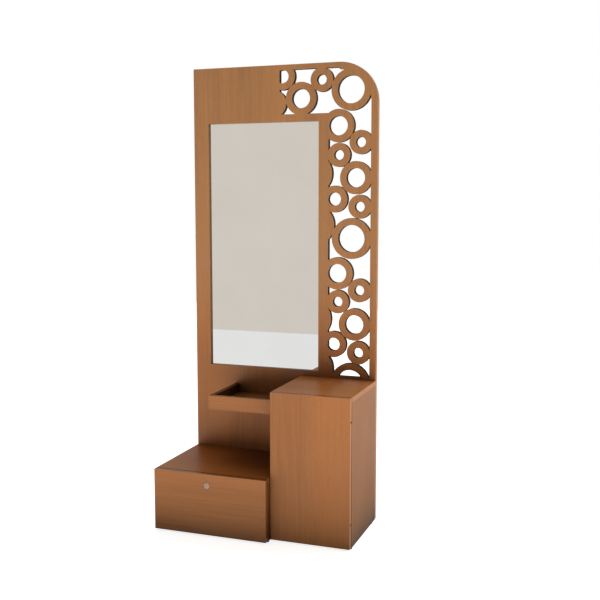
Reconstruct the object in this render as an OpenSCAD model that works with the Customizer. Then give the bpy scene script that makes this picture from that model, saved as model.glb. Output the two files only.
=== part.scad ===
// Wall-standing styling station: a tall fretted back panel with a recessed mirror,
// a low drawer box, a tall cupboard and an open tray between them.
// Millimetres. +Z up, -Y towards the user, origin on the floor at the centre of the footprint.

/* [Back panel] */
// Overall width of the station
unit_w = 775; // [765:1:790]
// Overall height, floor to top edge
unit_h = 1800; // [1800:1:1850]
// Thickness of the back panel
panel_t = 22; // [20:1:25]
// Radius of the rounded top right corner
corner_r = 154; // [145:1:158]

/* [Mirror] */
// Left edge of the mirror opening, from the panel's left edge
mirror_x = 64.5; // [50:0.5:70]
// Width of the visible mirror
mirror_w = 472.5; // [440:0.5:480]
// Height of the mirror's lower edge above the floor
mirror_z = 592; // [588:1:620]
// Height of the visible mirror
mirror_h = 987; // [940:1:990]
// Depth of the glass behind the panel's front face
mirror_recess = 11; // [9:0.5:11]

/* [Fretwork] */
// Width of the band of every ring
ring_band = 27; // [25:0.5:28]
// Hole radius of the small rings
ring_small = 19.5; // [18:0.5:20]
// Hole radius of the middle rings
ring_middle = 25.5; // [24:0.5:26]
// Hole radius of the big rings
ring_big = 37; // [36:0.5:38]
// Hole radius of the largest rings
ring_large = 53; // [52:0.5:54]
// Width of the solid rail right of the fretwork
fret_rail = 26.5; // [25:0.5:28]

/* [Boards] */
// Thickness of the carcass boards and fronts
board_t = 18; // [17:0.5:18]
// Width of the low drawer box
low_w = 463; // [463:1:466]
// Height of the low box's top surface above the floor
low_h = 244; // [242:1:250]
// Distance from the panel's front to the drawer front's face
low_d = 381; // [378:1:390]
// Height of the cupboard's top surface above the floor
tall_h = 568; // [560:1:570]
// Distance from the panel's front to the door's face
tall_d = 340; // [335:1:342]
// Gap between the drawer front and the box behind it
front_gap = 4; // [3:0.5:4]
// Gap between the door and the cupboard behind it
door_gap = 2; // [2:0.5:2.5]

/* [Tray] */
// Inside left edge of the tray, from the panel's left edge
tray_x = 192; // [180:1:200]
// Height of the tray's underside above the floor
tray_z = 465; // [460:1:470]
// Height of the tray's front board
tray_h = 53.5; // [50:0.5:56]
// Distance from the panel's front to the tray's face
tray_d = 257; // [250:1:262]

/* [Motion] */
// Distance that the drawer is drawn out; 0 is closed
drawer_out = 0; // [0:10:340]
// Angle that the door is drawn at; 0 is closed
door_angle = 0; // [0:5:95]

/* [Hidden] */
$fn = 64;
// slack of a bore round a piece that is fixed in it
touch = 0.05;
// running clearance of a turning or sliding fit
fit_gap = 0.05;
// amount a cutter runs past the face that it opens
over = 1;

glide_h = 5;
lock_proud = 1.5;
total_d = panel_t + low_d + lock_proud;

// depths, measured forward from the wall plane as negative y
panel_y = -panel_t;
low_front_y = panel_y - low_d;
low_box_y = low_front_y + board_t + front_gap;
tall_front_y = panel_y - tall_d;
tall_box_y = tall_front_y + board_t + door_gap;
tray_front_y = panel_y - tray_d;

tall_x = low_w;
tall_w = unit_w - low_w;
side_top_low = low_h - board_t;
side_top_tall = tall_h - board_t;

wood = [0.64, 0.44, 0.28];
wood_pale = [0.68, 0.50, 0.36];
wood_inner = [0.74, 0.58, 0.42];
hdf = [0.45, 0.34, 0.24];
glass_col = [0.80, 0.80, 0.78];
steel = [0.72, 0.73, 0.75];
zinc = [0.62, 0.63, 0.65];
dark_steel = [0.35, 0.36, 0.38];
plastic_grey = [0.40, 0.40, 0.42];
plastic_black = [0.10, 0.10, 0.11];
beech = [0.80, 0.66, 0.48];

// mirror build-up inside the panel's thickness
rabbet_margin = 10;
glass_t = 4;
backing_t = 3;
clip_t = 2;
clip_w = 24;
clip_reach = 8;
clip_out = 16;
clip_pocket_gap = 0.5;
clip_screw_depth = 5;
glass_y = panel_y + mirror_recess;
backing_y = glass_y + glass_t;
clip_y = backing_y + backing_t;
rabbet_x = mirror_x - rabbet_margin;
rabbet_z = mirror_z - rabbet_margin;
rabbet_w = mirror_w + 2 * rabbet_margin;
rabbet_h = mirror_h + 2 * rabbet_margin;
glass_gap = 1;
clip_zs = [rabbet_z + 120, rabbet_z + rabbet_h / 2, rabbet_z + rabbet_h - 120];
clip_xs = [rabbet_x + 90, rabbet_x + 290];
// centre of each clip's inner edge, and the turn that points the clip outwards
clip_places = concat(
    [for (z = clip_zs) [rabbet_x, z, -90]],
    [for (z = clip_zs) [rabbet_x + rabbet_w, z, 90]],
    [for (x = clip_xs) [x, rabbet_z, 180]],
    [for (x = clip_xs) [x, rabbet_z + rabbet_h, 0]]);

// fretwork: each ring is [x, z, hole radius] and a hole radius of 0 leaves a plain disc
fret_top = unit_h - 20.5;
fret_arm_x = 374.5;
fret_arm_z = 1608.5;
fret_column_x = 577.5;
fret_column_z = 578;
fret_right = unit_w - fret_rail;
arm_rings = [[386.5, 1754.5, ring_middle], [549.5, 1736.5, ring_small], [464, 1667.5, ring_big],
    [668.5, 1695, ring_large]];
group_rings = [[618, 1559, ring_big], [708.5, 1494.5, ring_small], [620.5, 1447, ring_small],
    [688.5, 1359, ring_big], [603.5, 1277, ring_middle], [705.5, 1247.5, ring_small],
    [672, 1124, ring_large]];
// the column's pattern is drawn twice, the second time this far away
group_step = [-3, -572.5];
// plain discs that bulge in from the solid part of the panel
disc_middle = ring_middle + ring_band;
disc_large = ring_large + ring_band;
arm_discs = [[350, 1650.5, disc_middle]];
group_discs = [[513.5, 1376, disc_large], [522, 1176, disc_large]];

// small wood screws that hold the light fittings
small_r = 1.5;
small_head_r = 3;
small_head_h = 1.5;
small_len = 12;

// fasteners through the panel from behind: [x, z]
screw_head_r = 5;
screw_head_h = 3;
screw_shank_r = 3.5;
screw_core_r = 2.5;
screw_len = 50;
screw_sink = 0.4;
screw_socket_r = 2.3;
screw_socket_d = 2.4;
side_x_low = [board_t / 2, low_w - board_t / 2];
side_x_tall = [tall_x + board_t / 2, unit_w - board_t / 2];
panel_screw_places = concat(
    [for (x = side_x_low, z = [60, 190]) [x, z]],
    [for (x = side_x_tall, z = [100, 320, 500]) [x, z]],
    [for (x = [120, 340], z = [glide_h + board_t / 2, low_h - board_t / 2]) [x, z]],
    [for (x = [tall_x + 90, unit_w - 90], z = [glide_h + board_t / 2, tall_h - board_t / 2]) [x, z]],
    [for (x = [tray_x + 50, low_w - 60]) [x, tray_z + board_t / 2]]);
wall_hole_r = 3.5;
wall_hole_xs = [tall_x + tall_w / 2 - 80, tall_x + tall_w / 2 + 80];
wall_hole_z = 515;

// cam fittings: a disc in one board draws in a bolt that stands in the other
cam_r = 7.5;
cam_depth = 12.5;
cam_reach = 34;
cam_slot_l = 8;
cam_slot_w = 1.6;
cam_slot_d = 2;
cam_bolt_start = 1;
bolt_r = 3;
bolt_bore_r = 4;
bolt_thread_r = 2.5;
bolt_thread_len = 11;
dowel_r = 4;
dowel_in_edge = 18;
dowel_in_face = 12;
dowel_pitch = 32;
cam_ys_low = [low_box_y + 60, panel_y - 90];
cam_ys_tall = [tall_box_y + 60, panel_y - 90];
top_turn_left = [0, 0, -90];
top_turn_right = [0, 0, 90];
// each joint is [place of the disc's centre, turns applied first to last]
low_joints = concat(
    [for (y = cam_ys_low)
        [[board_t / 2, y, side_top_low - cam_reach], [0, 0, 0], top_turn_left]],
    [for (y = cam_ys_low)
        [[low_w - board_t / 2, y, side_top_low - cam_reach], [0, 0, 0], top_turn_right]],
    [for (y = cam_ys_low)
        [[board_t + cam_reach, y, glide_h + board_t / 2], [0, -90, 0], [-90, 0, 0]]],
    [for (y = cam_ys_low)
        [[low_w - board_t - cam_reach, y, glide_h + board_t / 2], [0, 90, 0], [-90, 0, 0]]]);
tall_joints = concat(
    [for (y = cam_ys_tall)
        [[tall_x + board_t / 2, y, side_top_tall - cam_reach], [0, 0, 0], top_turn_left]],
    [for (y = cam_ys_tall)
        [[unit_w - board_t / 2, y, side_top_tall - cam_reach], [0, 0, 0], top_turn_right]],
    [for (y = cam_ys_tall)
        [[tall_x + board_t + cam_reach, y, glide_h + board_t / 2], [0, -90, 0], [-90, 0, 0]]],
    [for (y = cam_ys_tall)
        [[unit_w - board_t - cam_reach, y, glide_h + board_t / 2], [0, 90, 0], [-90, 0, 0]]]);

// glides under the upright boards: [x, y]
glide_r = 8;
glide_stem_r = 2;
glide_stem_h = 10;
glide_in = 12;
glide_places = [[side_x_low[0], low_box_y + glide_in], [side_x_low[1], low_box_y + glide_in],
    [side_x_tall[1], tall_box_y + glide_in], [side_x_tall[0], tall_box_y + glide_in],
    [side_x_low[0], panel_y - 30], [side_x_tall[1], panel_y - 30],
    [30, panel_y / 2], [unit_w - 30, panel_y / 2]];

// shelf and its pins
pin_r = 2.5;
pin_depth = 10;
pin_out = 8;
pin_rows = 5;
pin_pitch = 32;
pin_z0 = 225;
shelf_gap = 1;
shelf_setback = 12;
pin_ys = [tall_box_y + 60, panel_y - 50];
pin_level = 2;
shelf_z = pin_z0 + pin_level * pin_pitch + pin_r;

// tray
tray_wall_y = tray_front_y + board_t;
tray_left = tray_x - board_t;
tray_dowel_xs = [tray_x + 70, low_w - 90];
tray_dowel_zs = [tray_z + 14, tray_z + tray_h - 12];
tray_dowel_ys = [panel_y - 60, panel_y - 190];

// ball-bearing slides: a channel on the box, one on the drawer and one between them
slide_space = 12.7;
slide_h = 45;
slide_len = 350;
slide_z = 110;
rail_t = 1.2;
outer_reach = 9;
middle_in = 4;
middle_reach = 10.5;
middle_h = 40.6;
inner_reach = 7;
inner_h = 36.2;
middle_len = 340;
rail_screw_r = 2;
rail_screw_head_r = 3.5;
rail_screw_head_h = 1.5;
rail_screw_depth = 9;
rail_lead = 4;
rail_screw_ys = [low_box_y + 30, panel_y - 60];
rail_screw_shift = 8;
outer_rail_y = low_box_y + 2;
// slide sections are [side plane's x, direction into the drawer]
slide_sides = [[board_t, 1], [low_w - board_t, -1]];

// drawer box
side_t = 12;
drawer_back_y = panel_y - 20;
drawer_z = 42;
drawer_h = 140;
drawer_x0 = board_t + slide_space;
drawer_x1 = low_w - board_t - slide_space;
front_back_y = low_front_y + board_t;
front_w = low_w - 0.5;
front_z = glide_h + 2;
bottom_t = 5;
groove_d = 6;
groove_z = drawer_z + 8;
front_screw_xs = [90, 200, 320, 400];
front_screw_zs = [75, 150];
front_screw_r = 2;
front_screw_head_r = 4;
front_screw_head_h = 2;
front_screw_depth = 12;

// cam lock
lock_x = 223;
lock_z = 199.5;
rim_r = 10.5;
barrel_r = 8;
barrel_len = 24;
plug_r = 5.5;
plug_len = 26.5;
nut_r = 12;
nut_t = 3;
key_slot_w = 1.8;
key_slot_h = 6.5;
key_slot_d = 10;
plug_sink = 0.2;
cam_t = 2;
cam_len = 24;
cam_w = 12;
cam_blade_inset = 2;
cam_screw_r = 1.75;
cam_screw_head_r = 3.5;
cam_screw_head_h = 2;
cam_screw_depth = 6;
keeper_gap = 1;
cam_y = low_front_y + plug_len;
keeper_t = 2;
keeper_y = cam_y - keeper_t - keeper_gap;
keeper_w = 36;
keeper_drop = 15;
keeper_foot = 14;
keeper_foot_t = 1.5;
keeper_screw_dxs = [-12, 12];
keeper_screw_y = keeper_y + keeper_t + keeper_foot / 2;

// door on two concealed pivots
door_x0 = tall_x + 2;
door_x1 = unit_w - 1;
door_z = glide_h + 2;
pivot_in = 4;
pivot_x = door_x1 - pivot_in;
pivot_y = tall_front_y + board_t / 2;
pivot_pin_r = 2;
pivot_pin_hold = 9;
arm_t = 3;
arm_w = 7;
arm_root_w = 6.5;
arm_root_len = 10;
arm_gap = 0.5;
pivot_plate_t = 1.5;
notch_x0 = pivot_x - 21;
notch_front_y = pivot_y - 5.5;
notch_h = arm_t + 2 * arm_gap + 2 * pivot_plate_t;
leaf_t = 2.5;
leaf_x = unit_w - board_t - leaf_t;
leaf_y0 = tall_box_y + 6;
leaf_len = 52;
leaf_h = 34;
leaf_screw_dys = [20, 42];
arm_x0 = leaf_x + leaf_t - arm_root_w;
pivot_zs = [door_z + 90, tall_h - 90];

// push latch
latch_w = 10;
latch_h = 14;
latch_len = 48;
latch_z = tall_h - 150;
latch_x = tall_x + board_t;
latch_cx = latch_x + latch_w / 2;
plunger_r = 2.8;
plunger_len = 22;
plunger_tip_r = 3.6;
plunger_tip_h = 4;
strike_t = 1.2;
strike_w = 16;
strike_h = 22;
strike_gap = 0.4;
strike_shift = 4;
strike_screw_dzs = [-7, 7];
strike_screw_len = 10;
door_back_y = tall_front_y + board_t;
plunger_tip_y = door_back_y + strike_t + strike_gap;
latch_room = 4;
latch_y0 = plunger_tip_y + plunger_tip_h + latch_room;
latch_screw_dys = [28, 42];

// ---------- shared shapes ----------

// shapes are drawn from the rear left floor corner and moved to the station's own frame here
module placed() {
    translate([-unit_w / 2, total_d / 2, 0]) children();
}

// box between two corners
module block(low, high) {
    translate(low) cube(high - low);
}

// cylinder along y from y0 to y1
module rod_y(x, z, r, y0, y1) {
    translate([x, y1, z]) rotate([90, 0, 0]) cylinder(r = r, h = y1 - y0);
}

// cylinder along x from x0 to x1
module rod_x(x0, x1, y, z, r) {
    translate([x0, y, z]) rotate([0, 90, 0]) cylinder(r = r, h = x1 - x0);
}

// ---------- fretwork ----------

// a set of cylinders through the panel; size picks hole or outer radius
module fret_cylinders(rings, extra) {
    for (r = rings)
        rod_y(r[0], r[1], r[2] + extra, panel_y - over, over);
}

module all_rings(extra) {
    fret_cylinders(arm_rings, extra);
    for (k = [0, 1])
        translate([k * group_step[0], 0, k * group_step[1]]) fret_cylinders(group_rings, extra);
}

module all_discs() {
    fret_cylinders(arm_discs, 0);
    for (k = [0, 1])
        translate([k * group_step[0], 0, k * group_step[1]]) fret_cylinders(group_discs, 0);
}

// region that the fretwork fills: an arm along the top and a column down the right
module fret_region() {
    inner_r = corner_r - fret_rail;
    cx = unit_w - corner_r;
    cz = unit_h - corner_r;
    difference() {
        union() {
            block([fret_arm_x, panel_y - over, fret_arm_z], [fret_right, over, fret_top]);
            block([fret_column_x, panel_y - over, fret_column_z], [fret_right, over, fret_top]);
        }
        difference() {
            block([cx, panel_y - 2 * over, cz], [unit_w, 2 * over, unit_h]);
            rod_y(cx, cz, inner_r, panel_y - 3 * over, 3 * over);
        }
    }
}

module fret_cut() {
    difference() {
        fret_region();
        all_rings(ring_band);
        all_discs();
    }
    intersection() {
        fret_region();
        all_rings(0);
    }
}

// ---------- fasteners ----------

module screw_bores(y0, y1, r) {
    for (p = panel_screw_places) rod_y(p[0], p[1], r, y0, y1);
}

// bores in the ends of boards that the panel screws enter
module board_screw_bores() {
    screw_bores(-screw_len - touch, panel_y + over, screw_core_r + touch);
}

module joint_places(joints) {
    for (j = joints)
        translate(j[0]) rotate(j[2]) rotate(j[1]) children();
}

// cam joint in its own frame: the bolt runs up +z, the disc opens towards +y
module cam_disc_shape(grow) {
    translate([0, board_t / 2 + (grow > 0 ? over : 0), 0]) rotate([90, 0, 0])
        cylinder(r = cam_r + grow, h = cam_depth + grow + (grow > 0 ? over : 0));
}

module cam_bolt_shape() {
    translate([0, 0, cam_bolt_start]) cylinder(r = bolt_r, h = cam_reach - cam_bolt_start);
    translate([0, 0, cam_reach]) cylinder(r = bolt_thread_r, h = bolt_thread_len);
}

module cam_dowel_shape(grow) {
    translate([dowel_pitch, 0, cam_reach - dowel_in_edge - grow])
        cylinder(r = dowel_r + grow, h = dowel_in_edge + dowel_in_face + 2 * grow);
}

module cam_cuts() {
    cam_disc_shape(touch);
    cylinder(r = bolt_bore_r, h = cam_reach + touch);
    translate([0, 0, cam_reach - touch])
        cylinder(r = bolt_thread_r + touch, h = bolt_thread_len + 2 * touch);
    cam_dowel_shape(touch);
}

module glide_bores() {
    for (p = glide_places)
        translate([p[0], p[1], glide_h - over])
            cylinder(r = glide_stem_r + touch, h = glide_stem_h + over + touch);
}

// ---------- panel and mirror ----------

module panel_outline() {
    difference() {
        block([0, panel_y, glide_h], [unit_w, 0, unit_h]);
        difference() {
            block([unit_w - corner_r, panel_y - over, unit_h - corner_r],
                [unit_w + over, over, unit_h + over]);
            rod_y(unit_w - corner_r, unit_h - corner_r, corner_r, panel_y - 2 * over, 2 * over);
        }
    }
}

module mirror_cut() {
    block([mirror_x, panel_y - over, mirror_z],
        [mirror_x + mirror_w, over, mirror_z + mirror_h]);
    block([rabbet_x, glass_y, rabbet_z], [rabbet_x + rabbet_w, over, rabbet_z + rabbet_h]);
}

module at_clips() {
    for (c = clip_places)
        translate([c[0], 0, c[1]]) rotate([0, c[2], 0]) children();
}

module back_panel() placed() color(wood) difference() {
    panel_outline();
    mirror_cut();
    fret_cut();
    at_clips()
        block([-clip_w / 2 - clip_pocket_gap, clip_y, -over],
            [clip_w / 2 + clip_pocket_gap, over, clip_out + clip_pocket_gap]);
    at_clips() rod_y(0, clip_out / 2, small_r, clip_y - clip_screw_depth, clip_y + over);
    screw_bores(panel_y - over, over, screw_shank_r);
    screw_bores(-screw_head_h - screw_sink, over, screw_head_r + touch);
    for (x = wall_hole_xs) rod_y(x, wall_hole_z, wall_hole_r, panel_y - over, over);
    glide_bores();
}

module mirror_glass() placed() color(glass_col)
    block([rabbet_x + glass_gap, glass_y, rabbet_z + glass_gap],
        [rabbet_x + rabbet_w - glass_gap, backing_y, rabbet_z + rabbet_h - glass_gap]);

module mirror_backing() placed() color(hdf)
    block([rabbet_x + glass_gap, backing_y, rabbet_z + glass_gap],
        [rabbet_x + rabbet_w - glass_gap, clip_y, rabbet_z + rabbet_h - glass_gap]);

module mirror_clips() placed() color(steel) at_clips() difference() {
    block([-clip_w / 2, clip_y, -clip_reach], [clip_w / 2, clip_y + clip_t, clip_out]);
    rod_y(0, clip_out / 2, small_r + touch, clip_y - over, clip_y + clip_t + over);
}

module mirror_clip_screws() placed() color(zinc) at_clips() {
    rod_y(0, clip_out / 2, small_r, clip_y - clip_screw_depth, clip_y + clip_t);
    rod_y(0, clip_out / 2, small_head_r, clip_y + clip_t, clip_y + clip_t + small_head_h);
}

module panel_screws() placed() color(zinc) for (p = panel_screw_places) difference() {
    union() {
        rod_y(p[0], p[1], screw_head_r, -screw_head_h - screw_sink, -screw_sink);
        rod_y(p[0], p[1], screw_shank_r, panel_y, -screw_head_h - screw_sink);
        rod_y(p[0], p[1], screw_core_r, -screw_len, panel_y);
    }
    // hexagon socket
    translate([p[0], over, p[1]]) rotate([90, 0, 0])
        cylinder(r = screw_socket_r, h = over + screw_sink + screw_socket_d, $fn = 6);
}

// ---------- low box ----------

module low_top() placed() color(wood) difference() {
    block([0, low_box_y, side_top_low], [low_w, panel_y, low_h]);
    board_screw_bores();
    joint_places(low_joints) cam_cuts();
    for (dx = keeper_screw_dxs)
        translate([lock_x + dx, keeper_screw_y, side_top_low - over])
            cylinder(r = small_r, h = over + small_len);
}

module low_side(x, dir) {
    difference() {
        block([x, low_box_y, glide_h], [x + board_t, panel_y, side_top_low]);
        board_screw_bores();
        joint_places(low_joints) cam_cuts();
        glide_bores();
        inner = dir > 0 ? x + board_t : x;
        for (y = rail_screw_ys)
            rod_x(inner - rail_screw_depth, inner + rail_screw_depth, y, slide_z, rail_screw_r);
    }
}

module low_left_side() placed() color(wood_pale) low_side(0, 1);

module low_right_side() placed() color(wood_pale) low_side(low_w - board_t, -1);

module low_bottom() placed() color(wood_inner) difference() {
    block([board_t, low_box_y, glide_h], [low_w - board_t, panel_y, glide_h + board_t]);
    board_screw_bores();
    joint_places(low_joints) cam_cuts();
}

// ---------- cupboard ----------

module cupboard_top() placed() color(wood) difference() {
    block([tall_x, tall_box_y, side_top_tall], [unit_w, panel_y, tall_h]);
    board_screw_bores();
    joint_places(tall_joints) cam_cuts();
}

module pin_bores(inner) {
    for (y = pin_ys, k = [0 : pin_rows - 1])
        rod_x(inner - pin_depth, inner + pin_depth, y, pin_z0 + k * pin_pitch, pin_r);
}

module cupboard_left_side() placed() color(wood_pale) difference() {
    block([tall_x, tall_box_y, glide_h], [tall_x + board_t, panel_y, side_top_tall]);
    board_screw_bores();
    joint_places(tall_joints) cam_cuts();
    glide_bores();
    pin_bores(tall_x + board_t);
    for (dy = latch_screw_dys)
        rod_x(latch_x - small_len, latch_x + over, latch_y0 + dy, latch_z, small_r);
    tray_dowel_set(touch);
}

module cupboard_right_side() placed() color(wood_pale) difference() {
    block([unit_w - board_t, tall_box_y, glide_h], [unit_w, panel_y, side_top_tall]);
    board_screw_bores();
    joint_places(tall_joints) cam_cuts();
    glide_bores();
    pin_bores(unit_w - board_t);
    for (z = pivot_zs, dy = leaf_screw_dys)
        rod_x(unit_w - board_t - over, unit_w - board_t + small_len, leaf_y0 + dy, z, small_r);
}

module cupboard_bottom() placed() color(wood_inner) difference() {
    block([tall_x + board_t, tall_box_y, glide_h],
        [unit_w - board_t, panel_y, glide_h + board_t]);
    board_screw_bores();
    joint_places(tall_joints) cam_cuts();
}

module cupboard_shelf() placed() color(wood_inner)
    block([tall_x + board_t + shelf_gap, tall_box_y + shelf_setback, shelf_z],
        [unit_w - board_t - shelf_gap, panel_y - shelf_gap, shelf_z + board_t]);

module shelf_pins() placed() color(zinc) for (y = pin_ys) {
    z = pin_z0 + pin_level * pin_pitch;
    rod_x(tall_x + board_t - pin_depth, tall_x + board_t + pin_out, y, z, pin_r);
    rod_x(unit_w - board_t - pin_out, unit_w - board_t + pin_depth, y, z, pin_r);
}

// ---------- tray ----------

module tray_dowel_set(grow) {
    y0 = tray_wall_y - dowel_in_face - grow;
    y1 = tray_wall_y + dowel_in_edge + grow;
    for (x = tray_dowel_xs) rod_y(x, tray_z + board_t / 2, dowel_r + grow, y0, y1);
    for (z = tray_dowel_zs) rod_y(tray_left + board_t / 2, z, dowel_r + grow, y0, y1);
    for (y = tray_dowel_ys)
        rod_x(low_w - dowel_in_edge - grow, low_w + dowel_in_face + grow, y, tray_z + board_t / 2,
            dowel_r + grow);
}

module tray_front() placed() color(wood) difference() {
    block([tray_left, tray_front_y, tray_z], [low_w, tray_wall_y, tray_z + tray_h]);
    tray_dowel_set(touch);
}

module tray_left_side() placed() color(wood_pale) difference() {
    block([tray_left, tray_wall_y, tray_z], [tray_x, panel_y, tray_z + tray_h]);
    tray_dowel_set(touch);
}

module tray_bottom() placed() color(wood) difference() {
    block([tray_x, tray_wall_y, tray_z], [low_w, panel_y, tray_z + board_t]);
    board_screw_bores();
    tray_dowel_set(touch);
}

module tray_dowels() placed() color(beech) tray_dowel_set(0);

// ---------- carcass fittings ----------

module cam_discs() placed() color(zinc) joint_places(concat(low_joints, tall_joints)) difference() {
    cam_disc_shape(0);
    cylinder(r = bolt_r + touch, h = cam_r + over);
    // cross slot for the driver
    for (turn = [0, 90])
        rotate([0, turn, 0]) translate([-cam_slot_l / 2, board_t / 2 - cam_slot_d, -cam_slot_w / 2])
            cube([cam_slot_l, cam_slot_d + over, cam_slot_w]);
}

module cam_bolts() placed() color(zinc) joint_places(concat(low_joints, tall_joints))
    cam_bolt_shape();

module wood_dowels() placed() color(beech) joint_places(concat(low_joints, tall_joints))
    cam_dowel_shape(0);

module floor_glides() placed() color(plastic_black) for (p = glide_places)
    translate([p[0], p[1], 0]) {
        cylinder(r = glide_r, h = glide_h);
        cylinder(r = glide_stem_r, h = glide_h + glide_stem_h);
    }

// ---------- drawer slides ----------

// channel in the x-z plane: web at w0..w0+t and flanges to w1, of height h, run from y0 to y1
module channel(w0, w1, web_at_start, h, y0, y1) {
    web = web_at_start ? w0 : w1 - rail_t;
    block([web, y0, -h / 2], [web + rail_t, y1, h / 2]);
    block([w0, y0, h / 2 - rail_t], [w1, y1, h / 2]);
    block([w0, y0, -h / 2], [w1, y1, -h / 2 + rail_t]);
}

module at_slides() {
    translate([slide_sides[0][0], 0, slide_z]) children();
    translate([slide_sides[1][0], 0, slide_z]) mirror([1, 0, 0]) children();
}

module drawer_run() {
    translate([0, -drawer_out, 0]) children();
}

module slide_outer_rails() placed() color(steel) at_slides() difference() {
    channel(0, outer_reach, true, slide_h, outer_rail_y, outer_rail_y + slide_len);
    for (y = rail_screw_ys) rod_x(-over, rail_t + over, y, 0, rail_screw_r);
}

module slide_rail_screws() placed() color(zinc) at_slides() for (y = rail_screw_ys) {
    rod_x(-rail_screw_depth, rail_t, y, 0, rail_screw_r);
    rod_x(rail_t, rail_t + rail_screw_head_h, y, 0, rail_screw_head_r);
}

module slide_middle_rails() placed() translate([0, -drawer_out / 2, 0]) color(steel) at_slides()
    channel(middle_in, middle_reach, true, middle_h, outer_rail_y + rail_lead,
        outer_rail_y + rail_lead + middle_len);

module slide_inner_rails() placed() drawer_run() color(steel) at_slides() difference() {
    channel(inner_reach, slide_space, false, inner_h, front_back_y + side_t + rail_lead,
        drawer_back_y);
    for (y = rail_screw_ys)
        rod_x(slide_space - rail_t - over, slide_space + over, y + rail_screw_shift, 0, rail_screw_r);
}

module inner_rail_screws() placed() drawer_run() color(zinc) at_slides() for (y = rail_screw_ys) {
    rod_x(slide_space - rail_t, slide_space + rail_screw_depth, y + rail_screw_shift, 0, rail_screw_r);
    rod_x(slide_space - rail_t - rail_screw_head_h, slide_space - rail_t, y + rail_screw_shift, 0,
        rail_screw_head_r);
}

// ---------- drawer ----------

module drawer_front() placed() drawer_run() color(wood) difference() {
    block([0, low_front_y, front_z], [front_w, front_back_y, low_h]);
    rod_y(lock_x, lock_z, barrel_r, low_front_y - over, front_back_y + over);
    for (x = front_screw_xs, z = front_screw_zs)
        rod_y(x, z, front_screw_r + touch, front_back_y - front_screw_depth, front_back_y + over);
}

module drawer_side(x) {
    inner = x < low_w / 2 ? x + side_t : x;
    outer = x < low_w / 2 ? x : x + side_t;
    difference() {
        block([x, front_back_y + side_t, drawer_z],
            [x + side_t, drawer_back_y, drawer_z + drawer_h]);
        block([inner - groove_d, front_back_y, groove_z],
            [inner + groove_d, drawer_back_y + over, groove_z + bottom_t]);
        for (y = rail_screw_ys)
            rod_x(outer - rail_screw_depth, outer + rail_screw_depth, y + rail_screw_shift, slide_z,
                rail_screw_r);
    }
}

module drawer_left_side() placed() drawer_run() color(wood_inner) drawer_side(drawer_x0);

module drawer_right_side() placed() drawer_run() color(wood_inner) drawer_side(drawer_x1 - side_t);

module drawer_inner_front() placed() drawer_run() color(wood_inner) difference() {
    block([drawer_x0, front_back_y, drawer_z],
        [drawer_x1, front_back_y + side_t, drawer_z + drawer_h]);
    block([drawer_x0 + side_t - groove_d, front_back_y + side_t - groove_d, groove_z],
        [drawer_x1 - side_t + groove_d, front_back_y + side_t + over, groove_z + bottom_t]);
    for (x = front_screw_xs, z = front_screw_zs)
        rod_y(x, z, front_screw_r + touch, front_back_y - over, front_back_y + side_t + over);
}

module drawer_back_board() placed() drawer_run() color(wood_inner)
    block([drawer_x0 + side_t, drawer_back_y - side_t, groove_z + bottom_t],
        [drawer_x1 - side_t, drawer_back_y, drawer_z + drawer_h]);

module drawer_bottom() placed() drawer_run() color(hdf)
    block([drawer_x0 + side_t - groove_d, front_back_y + side_t - groove_d, groove_z],
        [drawer_x1 - side_t + groove_d, drawer_back_y, groove_z + bottom_t]);

module drawer_front_screws() placed() drawer_run() color(zinc)
    for (x = front_screw_xs, z = front_screw_zs) {
    rod_y(x, z, front_screw_r, front_back_y - front_screw_depth, front_back_y + side_t);
    rod_y(x, z, front_screw_head_r, front_back_y + side_t,
        front_back_y + side_t + front_screw_head_h);
}

// ---------- cam lock ----------

module lock_housing() placed() drawer_run() color(steel) difference() {
    union() {
        rod_y(lock_x, lock_z, rim_r, low_front_y - lock_proud, low_front_y);
        rod_y(lock_x, lock_z, barrel_r, low_front_y, low_front_y + barrel_len);
    }
    rod_y(lock_x, lock_z, plug_r + fit_gap, low_front_y - lock_proud - over,
        low_front_y + barrel_len + over);
}

module lock_nut() placed() drawer_run() color(zinc) difference() {
    translate([lock_x, front_back_y + nut_t, lock_z]) rotate([90, 0, 0])
        cylinder(r = nut_r, h = nut_t, $fn = 6);
    rod_y(lock_x, lock_z, barrel_r, front_back_y - over, front_back_y + nut_t + over);
}

module lock_plug() placed() drawer_run() color(steel) difference() {
    rod_y(lock_x, lock_z, plug_r, low_front_y - lock_proud + plug_sink, cam_y);
    block([lock_x - key_slot_w / 2, low_front_y - lock_proud - over, lock_z - key_slot_h / 2],
        [lock_x + key_slot_w / 2, low_front_y + key_slot_d, lock_z + key_slot_h / 2]);
    rod_y(lock_x, lock_z, cam_screw_r, cam_y - cam_screw_depth, cam_y + over);
}

module lock_cam() placed() drawer_run() color(zinc) difference() {
    union() {
        rod_y(lock_x, lock_z, cam_w / 2, cam_y, cam_y + cam_t);
        block([lock_x, cam_y, lock_z - cam_w / 2 + cam_blade_inset],
            [lock_x + cam_len, cam_y + cam_t, lock_z + cam_w / 2 - cam_blade_inset]);
    }
    rod_y(lock_x, lock_z, cam_screw_r, cam_y - over, cam_y + cam_t + over);
}

module lock_cam_screw() placed() drawer_run() color(zinc) {
    rod_y(lock_x, lock_z, cam_screw_r, cam_y - cam_screw_depth, cam_y + cam_t);
    rod_y(lock_x, lock_z, cam_screw_head_r, cam_y + cam_t, cam_y + cam_t + cam_screw_head_h);
}

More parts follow.
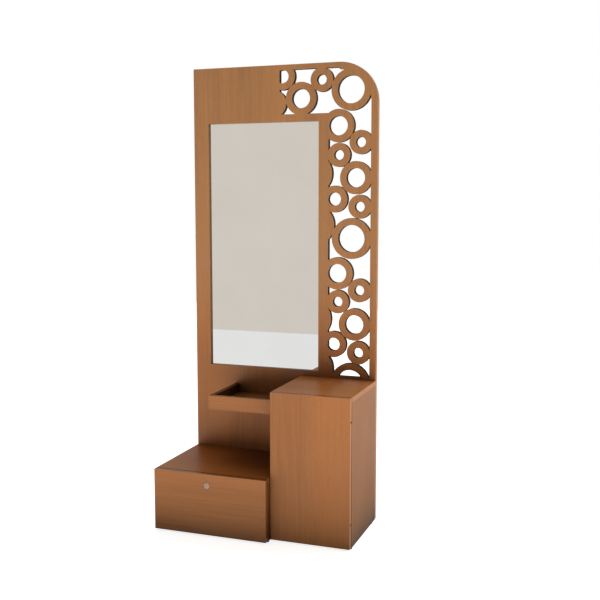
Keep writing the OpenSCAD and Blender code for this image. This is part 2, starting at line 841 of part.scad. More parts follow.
// angle plate under the low top that the turned lock cam rises behind
module lock_keeper() placed() color(steel) difference() {
    union() {
        block([lock_x - keeper_w / 2, keeper_y, side_top_low - keeper_drop],
            [lock_x + keeper_w / 2, keeper_y + keeper_t, side_top_low]);
        block([lock_x - keeper_w / 2, keeper_y, side_top_low - keeper_foot_t],
            [lock_x + keeper_w / 2, keeper_y + keeper_t + keeper_foot, side_top_low]);
    }
    for (dx = keeper_screw_dxs)
        translate([lock_x + dx, keeper_screw_y, side_top_low - keeper_foot_t - over])
            cylinder(r = small_r, h = keeper_foot_t + 2 * over);
}

module keeper_screws() placed() color(zinc) for (dx = keeper_screw_dxs)
    translate([lock_x + dx, keeper_screw_y, side_top_low - keeper_foot_t]) {
        translate([0, 0, -small_head_h]) cylinder(r = small_head_r, h = small_head_h);
        cylinder(r = small_r, h = small_len);
    }

// ---------- door ----------

module at_pivots() {
    for (z = pivot_zs) translate([pivot_x, pivot_y, z]) children();
}

module door_turn() {
    translate([pivot_x, pivot_y, 0]) rotate([0, 0, door_angle])
        translate([-pivot_x, -pivot_y, 0]) children();
}

module door_panel() placed() door_turn() color(wood) difference() {
    block([door_x0, tall_front_y, door_z], [door_x1, door_back_y, tall_h]);
    for (z = pivot_zs)
        block([notch_x0, notch_front_y, z - notch_h / 2],
            [door_x1 + over, door_back_y + over, z + notch_h / 2]);
    at_pivots() translate([0, 0, -notch_h / 2 - pivot_pin_hold])
        cylinder(r = pivot_pin_r, h = notch_h + 2 * pivot_pin_hold);
    for (dz = strike_screw_dzs)
        rod_y(latch_cx, latch_z + dz, small_r, door_back_y - strike_screw_len, door_back_y + over);
}

// steel linings above and below each notch
module pivot_plates() placed() door_turn() color(steel) difference() {
    for (z = pivot_zs, s = [-1, 1]) {
        zc = z + s * (notch_h / 2 - pivot_plate_t / 2);
        block([notch_x0, notch_front_y, zc - pivot_plate_t / 2],
            [door_x1, door_back_y, zc + pivot_plate_t / 2]);
    }
    at_pivots() translate([0, 0, -notch_h]) cylinder(r = pivot_pin_r, h = 2 * notch_h);
}

module pivot_pins() placed() door_turn() color(dark_steel) at_pivots()
    translate([0, 0, -notch_h / 2 - pivot_pin_hold])
        cylinder(r = pivot_pin_r, h = notch_h + 2 * pivot_pin_hold);

// fixed leaf on the cupboard's side, with an arm that reaches into the door's notch
module pivot_leaves() placed() color(steel) for (z = pivot_zs) difference() {
    union() {
        block([leaf_x, leaf_y0, z - leaf_h / 2], [leaf_x + leaf_t, leaf_y0 + leaf_len, z + leaf_h / 2]);
        block([arm_x0, pivot_y, z - arm_t / 2], [leaf_x + leaf_t, leaf_y0 + arm_root_len, z + arm_t / 2]);
        block([arm_x0, pivot_y - arm_w / 2, z - arm_t / 2], [pivot_x, pivot_y + arm_w / 2, z + arm_t / 2]);
        translate([pivot_x, pivot_y, z - arm_t / 2]) cylinder(r = arm_w / 2, h = arm_t);
    }
    translate([pivot_x, pivot_y, z - arm_t]) cylinder(r = pivot_pin_r + fit_gap, h = 2 * arm_t);
    for (dy = leaf_screw_dys)
        rod_x(leaf_x - over, leaf_x + leaf_t + over, leaf_y0 + dy, z, small_r);
}

module pivot_leaf_screws() placed() color(zinc) for (z = pivot_zs, dy = leaf_screw_dys) {
    rod_x(leaf_x - small_head_h, leaf_x, leaf_y0 + dy, z, small_head_r);
    rod_x(leaf_x, unit_w - board_t + small_len, leaf_y0 + dy, z, small_r);
}

// ---------- push latch ----------

module latch_body() placed() color(plastic_grey) difference() {
    block([latch_x, latch_y0, latch_z - latch_h / 2],
        [latch_x + latch_w, latch_y0 + latch_len, latch_z + latch_h / 2]);
    rod_y(latch_cx, latch_z, plunger_r + fit_gap, latch_y0 - over, latch_y0 + plunger_len);
    for (dy = latch_screw_dys)
        rod_x(latch_x - over, latch_x + latch_w + over, latch_y0 + dy, latch_z, small_r);
}

module latch_screws() placed() color(zinc) for (dy = latch_screw_dys) {
    rod_x(latch_x - small_len, latch_x + latch_w, latch_y0 + dy, latch_z, small_r);
    rod_x(latch_x + latch_w, latch_x + latch_w + small_head_h, latch_y0 + dy, latch_z, small_head_r);
}

module latch_plunger() placed() color(plastic_black) {
    rod_y(latch_cx, latch_z, plunger_tip_r, plunger_tip_y, plunger_tip_y + plunger_tip_h);
    rod_y(latch_cx, latch_z, plunger_r, plunger_tip_y + plunger_tip_h,
        plunger_tip_y + plunger_tip_h + plunger_len);
}

module latch_strike() placed() door_turn() color(steel) difference() {
    block([latch_cx - strike_w / 2 + strike_shift, door_back_y, latch_z - strike_h / 2],
        [latch_cx + strike_w / 2 + strike_shift, door_back_y + strike_t, latch_z + strike_h / 2]);
    for (dz = strike_screw_dzs)
        rod_y(latch_cx, latch_z + dz, small_r, door_back_y - over, door_back_y + strike_t + over);
}

// flush screws of the strike
module strike_screws() placed() door_turn() color(zinc) for (dz = strike_screw_dzs)
    rod_y(latch_cx, latch_z + dz, small_r, door_back_y - strike_screw_len, door_back_y + strike_t);

back_panel();
mirror_glass();
mirror_backing();
mirror_clips();
mirror_clip_screws();
panel_screws();
low_top();
low_left_side();
low_right_side();
low_bottom();
cupboard_top();
cupboard_left_side();
cupboard_right_side();
cupboard_bottom();
cupboard_shelf();
shelf_pins();
tray_front();
tray_left_side();
tray_bottom();
tray_dowels();
cam_discs();
cam_bolts();
wood_dowels();
floor_glides();
slide_outer_rails();
slide_rail_screws();
lock_keeper();
keeper_screws();
pivot_leaves();
pivot_leaf_screws();
latch_body();
latch_screws();
slide_middle_rails();
drawer_front();
drawer_left_side();
drawer_right_side();
drawer_inner_front();
drawer_back_board();
drawer_bottom();
drawer_front_screws();
slide_inner_rails();
inner_rail_screws();
lock_housing();
lock_nut();
lock_plug();
lock_cam();
lock_cam_screw();
door_panel();
pivot_plates();
pivot_pins();
latch_strike();
strike_screws();
latch_plunger();
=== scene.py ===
"""Looks of the styling station: veneered boards, mirror, lock and fittings, in soft light."""

import math

import bpy
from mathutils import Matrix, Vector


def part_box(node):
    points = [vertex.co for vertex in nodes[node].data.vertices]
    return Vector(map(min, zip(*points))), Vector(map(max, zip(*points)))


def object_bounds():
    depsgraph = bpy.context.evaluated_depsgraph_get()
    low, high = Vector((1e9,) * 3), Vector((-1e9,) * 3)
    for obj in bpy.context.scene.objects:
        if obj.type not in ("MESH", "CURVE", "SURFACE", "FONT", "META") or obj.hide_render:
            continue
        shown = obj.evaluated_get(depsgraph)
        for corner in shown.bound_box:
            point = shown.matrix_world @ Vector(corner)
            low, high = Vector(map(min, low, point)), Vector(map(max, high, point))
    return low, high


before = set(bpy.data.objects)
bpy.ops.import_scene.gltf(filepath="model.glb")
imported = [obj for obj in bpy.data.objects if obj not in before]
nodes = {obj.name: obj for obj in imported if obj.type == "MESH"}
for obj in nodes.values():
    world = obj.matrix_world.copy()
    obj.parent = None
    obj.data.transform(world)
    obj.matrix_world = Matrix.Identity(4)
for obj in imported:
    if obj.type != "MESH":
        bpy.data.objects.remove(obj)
cad_low, cad_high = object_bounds()
scene = bpy.context.scene

# ---------------------------------------------------------------- camera

CAMERA_AT = (1.3040, -3.2239, 1.2748)
CAMERA_YAW = math.radians(19.89)
CAMERA_DOWN = math.radians(6.29)
CAMERA_LENS = 54.63

camera_data = bpy.data.cameras.new("camera")
camera_data.sensor_width = 36.0
camera_data.lens = CAMERA_LENS
camera_data.clip_end = 60.0
camera = bpy.data.objects.new("camera", camera_data)
camera.location = CAMERA_AT
camera.rotation_euler = (math.pi / 2 - CAMERA_DOWN, 0.0, CAMERA_YAW)
scene.collection.objects.link(camera)
scene.camera = camera

# ---------------------------------------------------------------- node helpers


class Net:
    """Short calls that add and link shader nodes in one tree."""

    def __init__(self, tree):
        self.tree = tree
        tree.nodes.clear()

    def add(self, kind, **inputs):
        node = self.tree.nodes.new(kind)
        for name, value in inputs.items():
            self.put(node, name, value)
        return node

    def put(self, node, name, value):
        socket = node.inputs[int(name[1:])] if name[0] == "_" and name[1:].isdigit() else \
            node.inputs[name.replace("_", " ")]
        if isinstance(value, bpy.types.NodeSocket):
            self.tree.links.new(value, socket)
        else:
            socket.default_value = value

    def math(self, op, a, b=0.0, c=0.0, clamp=False):
        node = self.add("ShaderNodeMath", _0=a, _1=b, _2=c)
        node.operation = op
        node.use_clamp = clamp
        return node.outputs[0]

    def vmath(self, op, a, b=(0.0, 0.0, 0.0)):
        node = self.add("ShaderNodeVectorMath", _0=a, _1=b)
        node.operation = op
        return node.outputs["Value"] if op in ("DOT_PRODUCT", "LENGTH") else node.outputs[0]

    def remap(self, value, low, high, to_low=0.0, to_high=1.0):
        node = self.add("ShaderNodeMapRange", Value=value)
        node.inputs[1].default_value = low
        node.inputs[2].default_value = high
        node.inputs[3].default_value = to_low
        node.inputs[4].default_value = to_high
        return node.outputs[0]

    def mix(self, factor, a, b, blend="MIX"):
        node = self.tree.nodes.new("ShaderNodeMix")
        node.data_type = "RGBA"
        node.blend_type = blend
        for index, value in ((0, factor), (6, a), (7, b)):
            if isinstance(value, bpy.types.NodeSocket):
                self.tree.links.new(value, node.inputs[index])
            else:
                node.inputs[index].default_value = value
        return node.outputs[2]

    def noise(self, vector, scale, detail=2.0, rough=0.5, distortion=0.0):
        node = self.add("ShaderNodeTexNoise", Vector=vector, Scale=scale, Detail=detail,
                        Roughness=rough, Distortion=distortion)
        return node.outputs["Fac"]


def rgb(r, g, b):
    """sRGB 0-255 to a linear colour."""
    return tuple(((v / 255 + 0.055) / 1.055) ** 2.4 if v > 10 else v / 255 / 12.92
                 for v in (r, g, b)) + (1.0,)


def new_material(name):
    material = bpy.data.materials.new(name)
    material.use_nodes = True
    return material, Net(material.node_tree)


def finish_material(net, shader):
    out = net.add("ShaderNodeOutputMaterial")
    net.tree.links.new(shader.outputs[0], out.inputs["Surface"])


# ---------------------------------------------------------------- veneer

# painted shade in corners: how far it reaches, the openness where it is full, where it ends, its
# tone
CORNER_PAINTED_SHADE = (0.16, 0.2, 0.8, 0.25)
CUT_EDGE_DARK = rgb(30, 13, 6)
# painted light: the panel's veneer gets paler and cooler between these heights, by this much in
# red, green and blue
PAINTED_LIGHT_FROM, PAINTED_LIGHT_TO = 0.66, 1.0
PAINTED_LIGHT_TINT = (0.97, 1.22, 1.80, 1.0)
# painted light stays on a top board's upward face; its edge bands are darkened against it by this
# much
TOP_EDGE_TINT = (0.53, 0.60, 0.85, 1.0)
END_FACING = 0.7
GLOSS_FRONT, GLOSS_SIDE, GLOSS_TOP = 0.25, 0.04, 0.1
LACQUER_IOR = 1.48
# where the fretwork's cuts are: off the glass, off the outer edges, and inside the rounded corner
GLASS_MARGIN = 0.012
SIDE_MARGIN, TOP_MARGIN = 0.02, 0.015
CORNER_CENTRE, CORNER_INNER = 0.154, 0.140
AXES = {"X": (1.0, 0.0, 0.0), "Y": (0.0, 1.0, 0.0), "Z": (0.0, 0.0, 1.0)}
# how a board's own axes are turned so that the grain runs along the third
TURN = {"X": ("Y", "Z", "X"), "Y": ("X", "Z", "Y"), "Z": ("X", "Y", "Z")}


def grain_vector(net, grain, ends, seed):
    """Coordinates whose third axis runs along the grain, and along the edge band on end faces."""
    coords = net.add("ShaderNodeTexCoord")
    split = net.add("ShaderNodeSeparateXYZ", Vector=coords.outputs["Object"])
    turned = []
    for axis in (grain, ends):
        join = net.add("ShaderNodeCombineXYZ")
        for i, name in enumerate(TURN[axis]):
            net.tree.links.new(split.outputs[name], join.inputs[i])
        turned.append(join.outputs[0])
    facing = net.math("ABSOLUTE", net.vmath("DOT_PRODUCT", coords.outputs["Normal"], AXES[grain]))
    is_end = net.math("GREATER_THAN", facing, END_FACING)
    pick = net.add("ShaderNodeMix")
    pick.data_type = "VECTOR"
    net.tree.links.new(is_end, pick.inputs[0])
    net.tree.links.new(turned[0], pick.inputs[4])
    net.tree.links.new(turned[1], pick.inputs[5])
    moved = net.vmath("ADD", pick.outputs[1], (0.37 * seed, 0.53 * seed, 0.71 * seed))
    return moved, coords


def veneer(name, grain, ends, seed, light, dark, roughness=0.36, gloss=GLOSS_FRONT, figure=1.0,
           wear_and_highlight=0.0, painted_shade=CORNER_PAINTED_SHADE, panel=False, top=False):
    """Fine straight-grained veneer under a satin lacquer."""
    material, net = new_material(name)
    vector, coords = grain_vector(net, grain, ends, seed)

    def stretched(across, along):
        return net.vmath("MULTIPLY", vector, (across, across, along))

    # slow drift of tone, wandering growth lines, fine streaks and pores
    drift = net.noise(stretched(7.0, 0.5), 1.0, 3.0, 0.55)
    bend = net.math("MULTIPLY", net.noise(stretched(3.0, 0.45), 1.0, 2.0), 0.16)
    wander = net.vmath("ADD", vector, net.add("ShaderNodeCombineXYZ", X=bend, Y=bend).outputs[0])
    lines = net.noise(net.vmath("MULTIPLY", wander, (110.0, 110.0, 1.6)), 1.0, 4.0, 0.6, 0.3)
    streaks = net.noise(stretched(420.0, 5.0), 1.0, 3.0, 0.6)
    pores = net.noise(stretched(1500.0, 42.0), 1.0, 1.0, 0.5)
    pore_mask = net.remap(pores, 0.62, 0.74)
    fleck = net.remap(net.noise(stretched(260.0, 90.0), 1.0, 2.0, 0.5), 0.60, 0.78)

    tone = net.math("ADD", net.math("MULTIPLY", drift, 0.3 * figure),
                    net.math("MULTIPLY", lines, 0.6 * figure))
    tone = net.math("ADD", tone, net.math("MULTIPLY", streaks, 0.75 * figure))
    tone = net.remap(tone, 0.45 * figure, 1.2 * figure)
    colour = net.mix(tone, dark, light)
    warm = tuple(min(1.0, c * k) for c, k in zip(light[:3], (1.05, 0.94, 0.80))) + (1.0,)
    colour = net.mix(net.math("MULTIPLY", net.remap(drift, 0.40, 0.65), 0.45), colour, warm)
    pore_colour = tuple(c * 0.45 for c in dark[:3]) + (1.0,)
    colour = net.mix(net.math("MULTIPLY", pore_mask, 0.42 * figure), colour, pore_colour)
    colour = net.mix(net.math("MULTIPLY", fleck, 0.10 * figure), colour, light)
    if wear_and_highlight:
        # paler patches on the edges: wear, and a painted highlight
        rub_and_highlight = net.remap(net.noise(coords.outputs["Object"], 60.0, 3.0, 0.6), 0.35, 0.75, 0.0, wear_and_highlight)
        pale = tuple(min(1.0, c * 1.25 + 0.03) for c in light[:3]) + (1.0,)
        colour = net.mix(rub_and_highlight, colour, pale)
    if panel:
        # painted light: the panel grows paler and cooler towards its top
        up_panel = net.add("ShaderNodeSeparateXYZ", Vector=coords.outputs["Object"]).outputs["Z"]
        paler = net.remap(up_panel, PAINTED_LIGHT_FROM, PAINTED_LIGHT_TO)
        colour = net.mix(paler, colour, PAINTED_LIGHT_TINT, blend="MULTIPLY")
        cut = cut_edge_mask(net, coords)
        colour = net.mix(cut, colour, CUT_EDGE_DARK)
    if top:
        # only the upward face of a top board keeps its painted light
        up = net.vmath("DOT_PRODUCT", coords.outputs["Normal"], AXES["Z"])
        top_edge_colour = net.mix(1.0, colour, TOP_EDGE_TINT, blend="MULTIPLY")
        colour = net.mix(net.math("LESS_THAN", up, 0.4), colour, top_edge_colour)
    # painted shade: the colour is darkened in corners and gaps
    reach, closed, open_to, least = painted_shade
    corner = net.add("ShaderNodeAmbientOcclusion", Distance=reach)
    corner.samples = 6
    shade = net.remap(corner.outputs["AO"], closed, open_to, least, 1.0)
    grey = net.add("ShaderNodeCombineColor", Red=shade, Green=shade, Blue=shade)
    colour = net.mix(1.0, colour, grey.outputs[0], blend="MULTIPLY")

    rough = net.remap(streaks, 0.3, 0.7, roughness - 0.05, roughness + 0.07)
    rough = net.math("ADD", rough, net.math("MULTIPLY", pore_mask, 0.15))
    smudge = net.noise(coords.outputs["Object"], 5.0, 4.0, 0.6)
    rough = net.math("ADD", rough, net.remap(smudge, 0.35, 0.7, -0.03, 0.05), clamp=True)
    if panel:
        rough = net.math("ADD", rough, net.math("MULTIPLY", cut, 0.55), clamp=True)

    height = net.math("SUBTRACT", net.math("MULTIPLY", streaks, 0.35), pore_mask)
    bump = net.add("ShaderNodeBump", Strength=0.22, Distance=0.00025, Height=height)
    shader = net.add("ShaderNodeBsdfPrincipled", Base_Color=colour, Roughness=rough,
                     Normal=bump.outputs[0])
    shader.inputs["IOR"].default_value = LACQUER_IOR
    shader.inputs["Specular IOR Level"].default_value = gloss
    finish_material(net, shader)
    return material


def cut_edge_mask(net, coords):
    """1 on the routed inner edges of the fretwork, which are coloured dark."""
    split = net.add("ShaderNodeSeparateXYZ", Vector=coords.outputs["Object"])
    normal = net.add("ShaderNodeSeparateXYZ", Vector=coords.outputs["Normal"])
    side = net.math("LESS_THAN", net.math("ABSOLUTE", normal.outputs["Y"]), 0.5)
    low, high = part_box("back_panel")
    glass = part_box("mirror_glass")[1]
    right_of_glass = net.math("GREATER_THAN", split.outputs["X"], glass.x + GLASS_MARGIN)
    above_glass = net.math("GREATER_THAN", split.outputs["Z"], glass.z + GLASS_MARGIN)
    area = net.math("MAXIMUM", right_of_glass, above_glass)
    inside = net.math("LESS_THAN", split.outputs["X"], high.x - SIDE_MARGIN)
    off_left = net.math("GREATER_THAN", split.outputs["X"], low.x + SIDE_MARGIN)
    inside = net.math("MULTIPLY", inside, off_left)
    off_top = net.math("LESS_THAN", split.outputs["Z"], high.z - TOP_MARGIN)
    inside = net.math("MULTIPLY", inside, off_top)
    # the rounded corner's own outer edge stays veneered
    centre = (high.x - CORNER_CENTRE, 0.0, high.z - CORNER_CENTRE)
    corner = net.vmath("SUBTRACT", coords.outputs["Object"], centre)
    reach = net.vmath("LENGTH", net.vmath("MULTIPLY", corner, (1.0, 0.0, 1.0)))
    far = net.math("GREATER_THAN", reach, CORNER_INNER)
    corner_split = net.add("ShaderNodeSeparateXYZ", Vector=corner)
    quadrant = net.math("MULTIPLY", net.math("GREATER_THAN", corner_split.outputs["X"], 0.0),
                        net.math("GREATER_THAN", corner_split.outputs["Z"], 0.0))
    keep = net.math("SUBTRACT", 1.0, net.math("MULTIPLY", far, quadrant))
    return net.math("MULTIPLY", net.math("MULTIPLY", side, area),
                    net.math("MULTIPLY", inside, keep))


# ---------------------------------------------------------------- other finishes


def metal(name, colour, roughness, along=None, wear=0.0, bump=0.12):
    """Plated or bare metal: brushed along one axis, or finely cast if along is None."""
    material, net = new_material(name)
    coords = net.add("ShaderNodeTexCoord").outputs["Object"]
    if along:
        stretch = tuple(12.0 if a == along else 900.0 for a in "XYZ")
        fine = net.noise(net.vmath("MULTIPLY", coords, stretch), 1.0, 3.0, 0.6)
    else:
        fine = net.noise(coords, 900.0, 3.0, 0.55)
    cloud = net.noise(coords, 45.0, 4.0, 0.6)
    rough = net.math("ADD", net.remap(fine, 0.3, 0.7, roughness - 0.06, roughness + 0.08),
                     net.remap(cloud, 0.35, 0.7, -0.04, 0.08), clamp=True)
    dull = tuple(c * 0.72 for c in colour[:3]) + (1.0,)
    tint = net.mix(net.remap(cloud, 0.35, 0.75, 0.0, 0.5 + wear), colour, dull)
    normal = net.add("ShaderNodeBump", Strength=bump, Distance=0.0001, Height=fine)
    shader = net.add("ShaderNodeBsdfPrincipled", Base_Color=tint, Roughness=rough,
                     Normal=normal.outputs[0])
    shader.inputs["Metallic"].default_value = 1.0
    finish_material(net, shader)
    return material


def plastic(name, colour, roughness):
    """Moulded plastic with a fine spark-eroded texture."""
    material, net = new_material(name)
    coords = net.add("ShaderNodeTexCoord").outputs["Object"]
    grain = net.noise(coords, 1400.0, 2.0, 0.5)
    cloud = net.noise(coords, 70.0, 3.0, 0.6)
    tint = net.mix(net.remap(cloud, 0.35, 0.7, 0.0, 0.35), colour,
                   tuple(min(1.0, c * 1.5 + 0.01) for c in colour[:3]) + (1.0,))
    rough = net.remap(cloud, 0.3, 0.7, roughness - 0.06, roughness + 0.1)
    normal = net.add("ShaderNodeBump", Strength=0.3, Distance=0.00012, Height=grain)
    shader = net.add("ShaderNodeBsdfPrincipled", Base_Color=tint, Roughness=rough,
                     Normal=normal.outputs[0])
    finish_material(net, shader)
    return material


def fibreboard(name, colour):
    """Hard fibreboard: matted fibres, darker specks, no grain."""
    material, net = new_material(name)
    coords = net.add("ShaderNodeTexCoord").outputs["Object"]
    fibre = net.noise(coords, 380.0, 5.0, 0.7, 0.8)
    cloud = net.noise(coords, 14.0, 4.0, 0.6)
    speck = net.remap(net.noise(coords, 900.0, 1.0), 0.66, 0.74, 0.0, 0.6)
    tint = net.mix(net.remap(fibre, 0.3, 0.7), tuple(c * 0.7 for c in colour[:3]) + (1.0,), colour)
    tint = net.mix(net.remap(cloud, 0.3, 0.7, 0.0, 0.3), tint,
                   tuple(c * 1.2 for c in colour[:3]) + (1.0,))
    tint = net.mix(speck, tint, tuple(c * 0.4 for c in colour[:3]) + (1.0,))
    rough = net.remap(fibre, 0.3, 0.7, 0.62, 0.82)
    normal = net.add("ShaderNodeBump", Strength=0.35, Distance=0.0002, Height=fibre)
    shader = net.add("ShaderNodeBsdfPrincipled", Base_Color=tint, Roughness=rough,
                     Normal=normal.outputs[0])
    finish_material(net, shader)
    return material


def mirror_glass(name):
    """Silvered front, green ground edges and grey paint at the back, by which way a face looks."""
    material, net = new_material(name)
    coords = net.add("ShaderNodeTexCoord")
    normal = net.add("ShaderNodeSeparateXYZ", Vector=coords.outputs["Normal"])
    front = net.math("LESS_THAN", normal.outputs["Y"], -0.9)
    back = net.math("GREATER_THAN", normal.outputs["Y"], 0.9)
    haze = net.noise(coords.outputs["Object"], 3.0, 5.0, 0.65)
    dust = net.noise(coords.outputs["Object"], 160.0, 2.0, 0.5)
    silver = net.mix(net.remap(haze, 0.3, 0.7), rgb(222, 222, 221), rgb(227, 227, 226))
    edge = net.mix(net.remap(dust, 0.3, 0.7), rgb(96, 132, 118), rgb(128, 158, 146))
    paint = net.mix(net.remap(dust, 0.3, 0.7), rgb(92, 96, 100), rgb(108, 111, 114))
    colour = net.mix(back, net.mix(front, edge, silver), paint)
    rough = net.remap(haze, 0.35, 0.75, 0.004, 0.022)
    rough = net.math("ADD", rough, net.math("MULTIPLY", net.math("SUBTRACT", 1.0, front), 0.4))
    shader = net.add("ShaderNodeBsdfPrincipled", Base_Color=colour, Roughness=rough, Metallic=front)
    finish_material(net, shader)
    return material


# ---------------------------------------------------------------- materials on the CAD nodes

LIGHT = rgb(168, 107, 55)
DARK = rgb(136, 82, 39)
# painted shade and sheen: the sides' copy of the veneer is darker and greyer than the fronts'
SHADED_SIDE_LIGHT = rgb(140, 97, 63)
SHADED_SIDE_DARK = rgb(116, 76, 45)
# painted light: the tops' copy of the veneer is lighter than the fronts'
LIT_TOP_LIGHT = rgb(212, 136, 68)
LIT_TOP_DARK = rgb(178, 108, 50)
INNER_LIGHT = rgb(222, 190, 150)
INNER_DARK = rgb(204, 166, 122)
BEECH_LIGHT = rgb(226, 190, 146)
BEECH_DARK = rgb(204, 160, 112)

# veneered boards: node -> (grain axis, axis of the band on its ends)
OUTER_BOARDS = {
    "back_panel": "ZX", "low_top": "XY", "cupboard_top": "XY", "tray_front": "XZ",
    "tray_left_side": "YZ", "tray_bottom": "XY", "drawer_front": "XZ", "door_panel": "ZX",
    "low_left_side": "ZY", "low_right_side": "ZY", "cupboard_left_side": "ZY",
    "cupboard_right_side": "ZY",
}
INNER_BOARDS = {
    "low_bottom": "XY", "cupboard_bottom": "XY", "cupboard_shelf": "XY",
    "drawer_left_side": "YZ", "drawer_right_side": "YZ", "drawer_inner_front": "XZ",
    "drawer_back_board": "XZ",
}
# painted shade in corners, for the boards where it differs from the default
PAINTED_SHADE_BY_NODE = {
    "tray_left_side": (0.16, 0.35, 0.95, 0.08), "tray_bottom": (0.16, 0.2, 0.8, 0.2),
    "low_top": (0.32, 0.25, 0.75, 0.15),
    "door_panel": (0.05, 0.0, 0.3, 0.8), "cupboard_top": (0.16, 0.0, 0.5, 0.8),
}


def dress(node, *materials):
    """Gives a CAD node its materials: the first everywhere, a second one on softened edges."""
    slots = nodes[node].data.materials
    slots.clear()
    for material in materials:
        slots.append(material)


# how far edges are rounded, in metres
ROUND_BOARD, ROUND_PANEL, ROUND_SMALL = 0.0006, 0.0004, 0.0005
ROUND_GLASS, ROUND_FIBRE, ROUND_METAL = 0.0008, 0.0003, 0.0002
WELD_WITHIN = 0.00001
SHARP_FROM = math.radians(40.0)
# paler rounded edges on veneered boards: wear, and a painted highlight that the edge catches
EDGE_WEAR_AND_HIGHLIGHT = 0.05


def soften(node, width, edge_slot=-1, clamp=True):
    """Joins the split corners of a CAD mesh and rounds its edges slightly."""
    o = nodes[node]
    weld = o.modifiers.new("weld", "WELD")
    weld.merge_threshold = WELD_WITHIN
    bevel = o.modifiers.new("edges", "BEVEL")
    bevel.width = width
    bevel.segments = 2
    bevel.limit_method = "ANGLE"
    bevel.angle_limit = SHARP_FROM
    bevel.harden_normals = True
    bevel.use_clamp_overlap = clamp
    bevel.material = edge_slot


for seed, (node, axes) in enumerate(OUTER_BOARDS.items(), start=1):
    is_panel, is_top = node == "back_panel", node.endswith("_top")
    light, dark, gloss = LIGHT, DARK, GLOSS_FRONT
    if node.endswith("_side"):
        light, dark, gloss = SHADED_SIDE_LIGHT, SHADED_SIDE_DARK, GLOSS_SIDE
    elif is_top:
        light, dark, gloss = LIT_TOP_LIGHT, LIT_TOP_DARK, GLOSS_TOP
    # each board gets its own painted shade in corners, or the default one
    kind = {"gloss": gloss, "panel": is_panel, "top": is_top,
            "painted_shade": PAINTED_SHADE_BY_NODE.get(node, CORNER_PAINTED_SHADE)}
    main = veneer("veneer_" + node, axes[0], axes[1], seed, light, dark, **kind)
    edge = veneer("edge_" + node, axes[0], axes[1], seed, light, dark, wear_and_highlight=EDGE_WEAR_AND_HIGHLIGHT, **kind)
    dress(node, main, edge)
    soften(node, ROUND_PANEL if is_panel else ROUND_BOARD, edge_slot=1, clamp=not is_panel)

for seed, (node, axes) in enumerate(INNER_BOARDS.items(), start=31):
    dress(node, veneer("board_" + node, axes[0], axes[1], seed, INNER_LIGHT, INNER_DARK,
                       roughness=0.5, figure=0.8))
    soften(node, ROUND_SMALL)

for seed, (node, axes) in enumerate({"tray_dowels": "XY", "wood_dowels": "ZX"}.items(), start=51):
    dress(node, veneer("beech_" + node, axes[0], axes[1], seed, BEECH_LIGHT, BEECH_DARK,
                       roughness=0.6, figure=0.7))
    soften(node, ROUND_SMALL)

dress("mirror_glass", mirror_glass("mirror_glass"))
soften("mirror_glass", ROUND_GLASS)
hdf = fibreboard("fibreboard", rgb(140, 104, 72))
for node in ("mirror_backing", "drawer_bottom"):
    dress(node, hdf)
    soften(node, ROUND_FIBRE)

rail_steel = metal("rail_steel", rgb(205, 207, 210), 0.30, along="Y")
plate_steel = metal("plate_steel", rgb(200, 202, 205), 0.34, along="Z")
zinc = metal("zinc", rgb(184, 186, 190), 0.38)
screw_zinc = metal("screw_zinc", rgb(192, 192, 190), 0.32, wear=0.2)
lock_chrome = metal("lock_chrome", rgb(192, 174, 162), 0.5, bump=0.06)
bronze = metal("bronze", rgb(112, 86, 66), 0.45, along="Z")
black_steel = metal("black_steel", rgb(84, 84, 88), 0.42)
METALS = {
    rail_steel: ("slide_outer_rails", "slide_middle_rails", "slide_inner_rails"),
    plate_steel: ("mirror_clips", "lock_keeper", "latch_strike"),
    bronze: ("pivot_leaves", "pivot_plates"),
    zinc: ("cam_discs", "lock_nut", "lock_cam", "shelf_pins"),
    screw_zinc: ("mirror_clip_screws", "panel_screws", "cam_bolts", "slide_rail_screws",
                 "keeper_screws", "pivot_leaf_screws", "latch_screws", "drawer_front_screws",
                 "inner_rail_screws", "lock_cam_screw", "strike_screws"),
    lock_chrome: ("lock_housing", "lock_plug"),
    black_steel: ("pivot_pins",),
}
for material, names in METALS.items():
    for node in names:
        dress(node, material)
        soften(node, ROUND_METAL)

grey_plastic = plastic("grey_plastic", rgb(112, 112, 116), 0.5)
black_plastic = plastic("black_plastic", rgb(30, 30, 32), 0.45)
for node, material in (("latch_body", grey_plastic), ("latch_plunger", black_plastic),
                       ("floor_glides", black_plastic)):
    dress(node, material)
    soften(node, ROUND_SMALL)

# ---------------------------------------------------------------- floor, surroundings and light

FLOOR_FRONT = cad_low.y - 4.3
FLOOR_HALF_WIDTH = 7.0
FLOOR_BACK = 7.0
FLOOR_GLOW = 0.8
ROOM_TONE = rgb(233, 226, 216)
# what the floor throws back on to the object: at its foot, far off, and how far off that is
BOUNCE_NEAR = 0.2
BOUNCE_FAR = 3.0
BOUNCE_REACH = 0.6
# the floor in reflections: how bright at the object's foot, and the distance where it gets white
SHINE_NEAR = 0.7
SHINE_REACH = 2.2
WHITE = (1.0, 1.0, 1.0, 1.0)
# soft light from all round: (azimuth, elevation, strength); azimuth 0 is in front, 90 on the right
SOFTBOXES = [(-45, 5, 0.95), (90, 5, 0.4), (135, 20, 1.2), (180, 45, 2.0), (90, 45, 0.4)]
SOFTBOX_POWER = 6.0


def by_ray(net, lighting, reflected, seen):
    """One look for the light that falls on things, one in reflections and one for the camera."""
    path = net.add("ShaderNodeLightPath")
    below = lighting
    for ray, shown in (("Is Glossy Ray", reflected), ("Is Camera Ray", seen)):
        mix = net.add("ShaderNodeMixShader", _0=path.outputs[ray])
        net.tree.links.new(below.outputs[0], mix.inputs[1])
        net.tree.links.new(shown.outputs[0], mix.inputs[2])
        below = mix
    return below


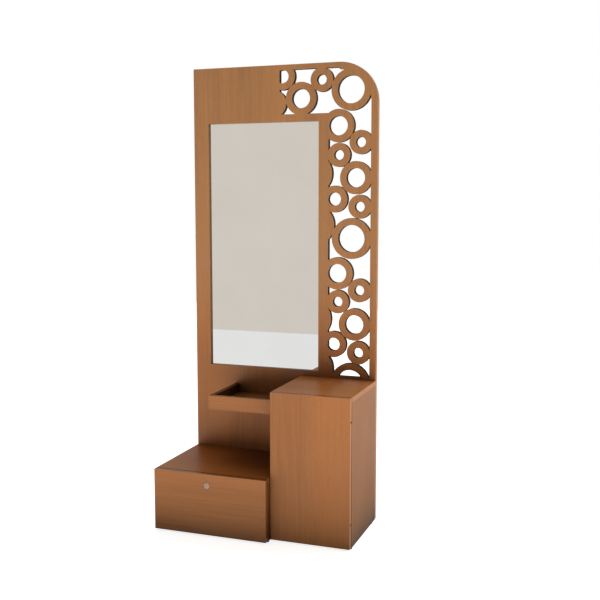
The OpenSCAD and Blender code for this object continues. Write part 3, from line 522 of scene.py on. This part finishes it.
def make_floor():
    """Pale floor. What it throws back on to the object fades out near the foot."""
    mesh = bpy.data.meshes.new("floor")
    x, y0, y1 = FLOOR_HALF_WIDTH, FLOOR_FRONT, FLOOR_BACK
    mesh.from_pydata([(-x, y0, 0), (x, y0, 0), (x, y1, 0), (-x, y1, 0)], [], [(0, 1, 2, 3)])
    floor = bpy.data.objects.new("floor", mesh)
    scene.collection.objects.link(floor)
    material, net = new_material("floor")
    coords = net.add("ShaderNodeTexCoord").outputs["Object"]
    speck = net.noise(coords, 30.0, 4.0, 0.6)
    colour = net.mix(speck, rgb(243, 243, 243), rgb(248, 248, 248))
    seen = net.add("ShaderNodeBsdfPrincipled", Base_Color=colour)
    seen.inputs["Roughness"].default_value = 0.6
    seen.inputs["Specular IOR Level"].default_value = 0.1
    seen.inputs["Emission Color"].default_value = WHITE
    seen.inputs["Emission Strength"].default_value = FLOOR_GLOW
    # distance from the object's footprint
    past = net.vmath("SUBTRACT", net.vmath("ABSOLUTE", coords), (cad_high.x, cad_high.y, 1.0))
    off = net.vmath("LENGTH", net.vmath("MAXIMUM", past, (0.0, 0.0, 0.0)))
    glow = net.remap(off, 0.0, BOUNCE_REACH, BOUNCE_NEAR, BOUNCE_FAR)
    shine = net.remap(off, 0.0, SHINE_REACH, SHINE_NEAR, 1.0)
    bounce = net.add("ShaderNodeEmission", Strength=glow)
    mirrored = net.add("ShaderNodeEmission", Strength=shine)
    finish_material(net, by_ray(net, bounce, mirrored, seen))
    mesh.materials.append(material)


def direction(azimuth, elevation):
    """The way towards a light; azimuth 0 is in front of the object and 90 on its right."""
    a, e = math.radians(azimuth), math.radians(elevation)
    return math.sin(a) * math.cos(e), -math.cos(a) * math.cos(e), math.sin(e)


def make_world():
    """Soft light from large boxes all round. Reflections see an even room, the camera white."""
    world = bpy.data.worlds.new("room")
    scene.world = world
    world.use_nodes = True
    net = Net(world.node_tree)
    looking = net.add("ShaderNodeTexCoord").outputs["Generated"]
    total = 0.0
    for azimuth, elevation, strength in SOFTBOXES:
        facing = net.vmath("DOT_PRODUCT", looking, direction(azimuth, elevation))
        lobe = net.math("POWER", net.math("MAXIMUM", facing, 0.0), SOFTBOX_POWER)
        total = net.math("MULTIPLY_ADD", lobe, strength, total)
    light = net.add("ShaderNodeBackground", Color=WHITE, Strength=total)
    room = net.add("ShaderNodeBackground", Color=ROOM_TONE, Strength=1.0)
    white = net.add("ShaderNodeBackground", Color=WHITE, Strength=1.0)
    out = net.add("ShaderNodeOutputWorld")
    net.tree.links.new(by_ray(net, light, room, white).outputs[0], out.inputs["Surface"])


make_floor()
make_world()
scene.view_settings.view_transform = "Standard"
scene.view_settings.look = "None"
